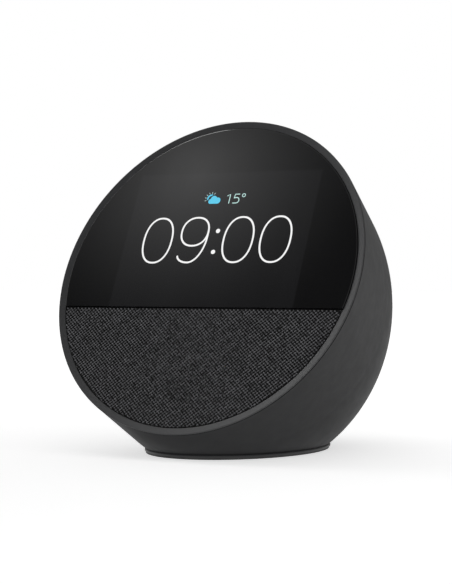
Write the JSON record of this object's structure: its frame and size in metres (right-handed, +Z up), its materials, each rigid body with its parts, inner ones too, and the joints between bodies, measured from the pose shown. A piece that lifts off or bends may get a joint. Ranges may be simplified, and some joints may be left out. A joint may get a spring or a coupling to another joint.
{
  "type": "smart display",
  "caption": "Egg-shaped bedside smart display with a round leaning face: glass screen above, woven loudspeaker grille below, on an oval foot.",
  "frame": {"origin": "centre of the oval foot's underside, on the table", "axes": "+Z up, the face looks towards -Y and leans back, +X is to the right of someone facing along +Y"},
  "size_m": [0.113, 0.1108, 0.1108],
  "materials": {
    "housing_plastic": "fine matte moulded texture",
    "bezel_plastic": "smooth satin",
    "base_plastic": "satin",
    "button_plastic": "fine matte moulded texture",
    "inner_plastic": "matte",
    "grille_plastic": "matte black",
    "switch_plastic": "semi-gloss",
    "connector_plastic": "semi-gloss",
    "lens_glass": "polished, black behind a clear front",
    "lcd_glass": "polished",
    "backlight_film": "white diffuser",
    "adhesive": "foam tape",
    "foam": "closed-cell foam",
    "rubber_black": "matte",
    "lead_rubber": "satin",
    "foot_rubber": "matte",
    "thermal_silicone": "soft",
    "speaker_cloth": "plain woven, taut",
    "spider_cloth": "impregnated cloth",
    "cone_paper": "coated pulp",
    "flex_film": "polyimide film",
    "circuit_board": "solder mask",
    "stamped_steel": "stamped",
    "screw_steel": "plated",
    "weight_iron": "raw casting",
    "magnet": "ground ferrite",
    "heat_sink_aluminium": "extruded",
    "brass_can": "plated",
    "copper_wire": "enamelled"
  },
  "bodies": {
    "housing": {"rear_shell": "housing_plastic", "front_ring": "bezel_plastic", "display_lens": "lens_glass", "lens_adhesive": "adhesive", "lcd_panel": "lcd_glass", "backlight": "backlight_film", "lcd_bracket": "stamped_steel", "display_flex": "flex_film", "front_baffle": "inner_plastic", "grille_plate": "grille_plastic", "grille_fabric": "speaker_cloth", "grille_adhesive": "adhesive", "speaker_basket": "stamped_steel", "speaker_gasket": "foam", "speaker_top_plate": "stamped_steel", "speaker_magnet": "magnet", "speaker_yoke": "stamped_steel", "speaker_surround": "rubber_black", "speaker_spider": "spider_cloth", "speaker_chamber": "inner_plastic", "main_board": "circuit_board", "soc_shield": "stamped_steel", "wifi_shield": "stamped_steel", "thermal_pad": "thermal_silicone", "heat_sink": "heat_sink_aluminium", "board_connectors": "connector_plastic", "wifi_antenna": "flex_film", "button_board": "circuit_board", "key_switches": "switch_plastic", "microphones": "brass_can", "mic_boots": "rubber_black", "dc_jack": "switch_plastic", "dc_jack_pin": "brass_can", "port_trim": "bezel_plastic", "base_plate": "base_plastic", "base_weight": "weight_iron", "foot_pad": "foot_rubber", "baffle_screws": "screw_steel", "chamber_screws": "screw_steel", "board_screws": "screw_steel", "bracket_screws": "screw_steel", "base_screws": "screw_steel", "button_board_screws": "screw_steel", "power_lead": "lead_rubber", "speaker_lead": "lead_rubber", "button_lead": "lead_rubber"},
    "volume_down_key": {"volume_down_button": "button_plastic", "volume_down_plunger": "switch_plastic"},
    "mute_key": {"mute_button": "button_plastic", "mute_plunger": "switch_plastic"},
    "volume_up_key": {"volume_up_button": "button_plastic", "volume_up_plunger": "switch_plastic"},
    "cone_assembly": {"speaker_cone": "cone_paper", "dust_cap": "cone_paper", "coil_former": "flex_film", "voice_coil": "copper_wire"}
  },
  "joints": [
    {"name": "volume_down_press", "type": "slide", "parent": "housing", "child": "volume_down_key", "axis": [0, -0.4443, -0.8959], "range_m": [0, 0.0006], "stiffness_N_per_m": 2500},
    {"name": "mute_press", "type": "slide", "parent": "housing", "child": "mute_key", "axis": [0, -0.4443, -0.8959], "range_m": [0, 0.0006], "stiffness_N_per_m": 2500},
    {"name": "volume_up_press", "type": "slide", "parent": "housing", "child": "volume_up_key", "axis": [0, -0.4443, -0.8959], "range_m": [0, 0.0006], "stiffness_N_per_m": 2500},
    {"name": "cone_travel", "type": "slide", "parent": "housing", "child": "cone_assembly", "axis": [0, -0.9063, 0.4226], "range_m": [-0.0015, 0.0015], "stiffness_N_per_m": 1500, "deforming": ["speaker_surround", "speaker_spider"]}
  ]
}
